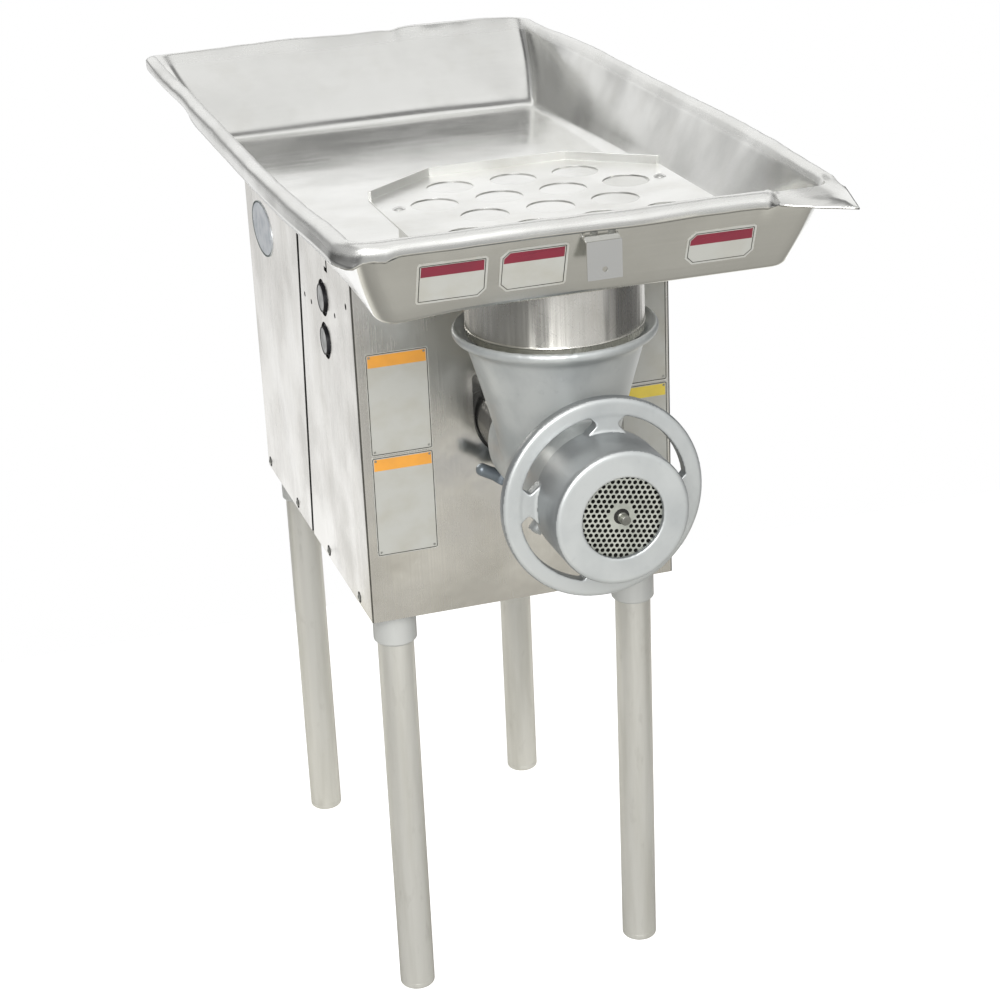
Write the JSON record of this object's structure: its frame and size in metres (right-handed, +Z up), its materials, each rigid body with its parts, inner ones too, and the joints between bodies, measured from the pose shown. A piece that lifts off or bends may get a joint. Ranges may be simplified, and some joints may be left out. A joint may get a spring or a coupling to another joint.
{
  "type": "electric meat grinder",
  "caption": "Floor-standing electric meat grinder: steel motor housing on pipe legs, cast grinding head with a spoked adjusting ring, lift-off feed pan with a hole guard.",
  "frame": {"origin": "on the floor, under the middle of the whole machine", "axes": "+X to the right, +Y to the back, +Z up; the grinding head faces -Y"},
  "size_m": [0.534, 1.024, 1.0313],
  "materials": {
    "housing_steel": "brushed stainless sheet, worn and lightly scratched",
    "base_steel": "painted steel plate",
    "screw_steel": "zinc-plated steel",
    "socket_cast": "cast collar under aluminium paint",
    "leg_paint": "aluminium paint on steel pipe, worn",
    "plate_enamel": "white enamelled plate with a coloured band",
    "badge_metal": "blank oval plate of satin aluminium",
    "black_plastic": "moulded black plastic",
    "case_cast": "cast aluminium, turned bright at the nose",
    "bearing_steel": "ground bearing steel",
    "seal_rubber": "nitrile rubber",
    "shaft_steel": "machined steel",
    "motor_paint": "grey machine enamel",
    "core_laminations": "laminated electrical steel",
    "fan_plastic": "moulded plastic",
    "button_plastic": "light grey moulded plastic",
    "head_cast": "tinned cast iron, smooth and satin",
    "clamp_steel": "plain cast handle, darkened",
    "cutter_steel": "ground tool steel",
    "pan_steel": "brushed stainless sheet, scuffed",
    "guard_steel": "brushed stainless plate"
  },
  "bodies": {
    "housing": {"front_shell": "housing_steel", "rear_cover": "housing_steel", "top_cover": "housing_steel", "base_plate": "base_steel", "motor_feet": "base_steel", "housing_screws": "screw_steel", "leg_socket_fl": "socket_cast", "leg_socket_fr": "socket_cast", "leg_socket_rl": "socket_cast", "leg_socket_rr": "socket_cast", "leg_fl": "leg_paint", "leg_fr": "leg_paint", "leg_rl": "leg_paint", "leg_rr": "leg_paint", "leg_plugs": "leg_paint", "panel_plates": "plate_enamel", "oval_plate": "badge_metal", "cable_gland": "black_plastic", "switch_block": "black_plastic", "capacitor": "black_plastic", "gear_case": "case_cast", "gear_cover": "case_cast", "gear_bearings": "bearing_steel", "motor_bearings": "bearing_steel", "shaft_seal": "seal_rubber", "motor_frame": "motor_paint", "motor_bell_front": "motor_paint", "motor_bell_rear": "motor_paint", "motor_stator": "core_laminations", "grinder_head": "head_cast", "plate_key": "clamp_steel"},
    "drive_train": {"worm": "head_cast", "worm_stud": "cutter_steel", "knife": "cutter_steel", "drive_shaft": "shaft_steel", "output_gear": "shaft_steel"},
    "lay_train": {"lay_shaft": "shaft_steel", "lay_gear": "shaft_steel", "lay_pinion": "shaft_steel"},
    "motor_rotor": {"rotor_shaft": "shaft_steel", "rotor_core": "core_laminations", "motor_pinion": "shaft_steel", "motor_fan": "fan_plastic"},
    "plate": {"grinding_plate": "cutter_steel"},
    "ring": {"adjusting_ring": "head_cast"},
    "clamp": {"clamp_handle": "clamp_steel"},
    "start": {"start_button": "button_plastic"},
    "stop": {"stop_button": "button_plastic"},
    "pan": {"feed_pan": "pan_steel", "feed_neck": "pan_steel", "guard_plate": "guard_steel", "guard_brackets": "guard_steel", "guard_rivets": "screw_steel", "latch_bracket": "pan_steel", "latch_rivets": "screw_steel", "pan_plates": "plate_enamel"}
  },
  "joints": [
    {"name": "worm_spin", "type": "hinge", "parent": "housing", "child": "drive_train", "pos_m": [0, -0.316, 0.7315], "axis": [0, 1, 0], "continuous": true},
    {"name": "lay_spin", "type": "hinge", "parent": "housing", "child": "lay_train", "pos_m": [0.05785, -0.133, 0.66256], "axis": [0, 1, 0], "continuous": true},
    {"name": "rotor_spin", "type": "hinge", "parent": "housing", "child": "motor_rotor", "pos_m": [0, 0.038, 0.61969], "axis": [0, 1, 0], "continuous": true},
    {"name": "plate_slide", "type": "slide", "parent": "housing", "child": "plate", "axis": [0, -1, 0], "range_m": [0, 0.0101]},
    {"name": "ring_turn", "type": "hinge", "parent": "plate", "child": "ring", "pos_m": [0, -0.471, 0.7315], "axis": [0, -1, 0], "range_deg": [0, 900]},
    {"name": "clamp_turn", "type": "hinge", "parent": "housing", "child": "clamp", "pos_m": [0, -0.219, 0.7315], "axis": [-0.4848, 0, -0.8746], "range_deg": [0, 180]},
    {"name": "start_press", "type": "slide", "parent": "housing", "child": "start", "axis": [1, 0, 0], "range_m": [0, 0.004], "stiffness_N_per_m": 400, "springref_m": -0.003},
    {"name": "stop_press", "type": "slide", "parent": "housing", "child": "stop", "axis": [1, 0, 0], "range_m": [0, 0.004], "stiffness_N_per_m": 400, "springref_m": -0.003},
    {"name": "pan_lift", "type": "slide", "parent": "housing", "child": "pan", "axis": [0, 0, 1], "range_m": [0, 0.15]}
  ],
  "couplings": [
    {"joint": "lay_spin", "follows": "worm_spin", "ratio": -3},
    {"joint": "rotor_spin", "follows": "worm_spin", "ratio": 9},
    {"joint": "plate_slide", "follows": "ring_turn", "m_per_rad": 0.00063662}
  ]
}
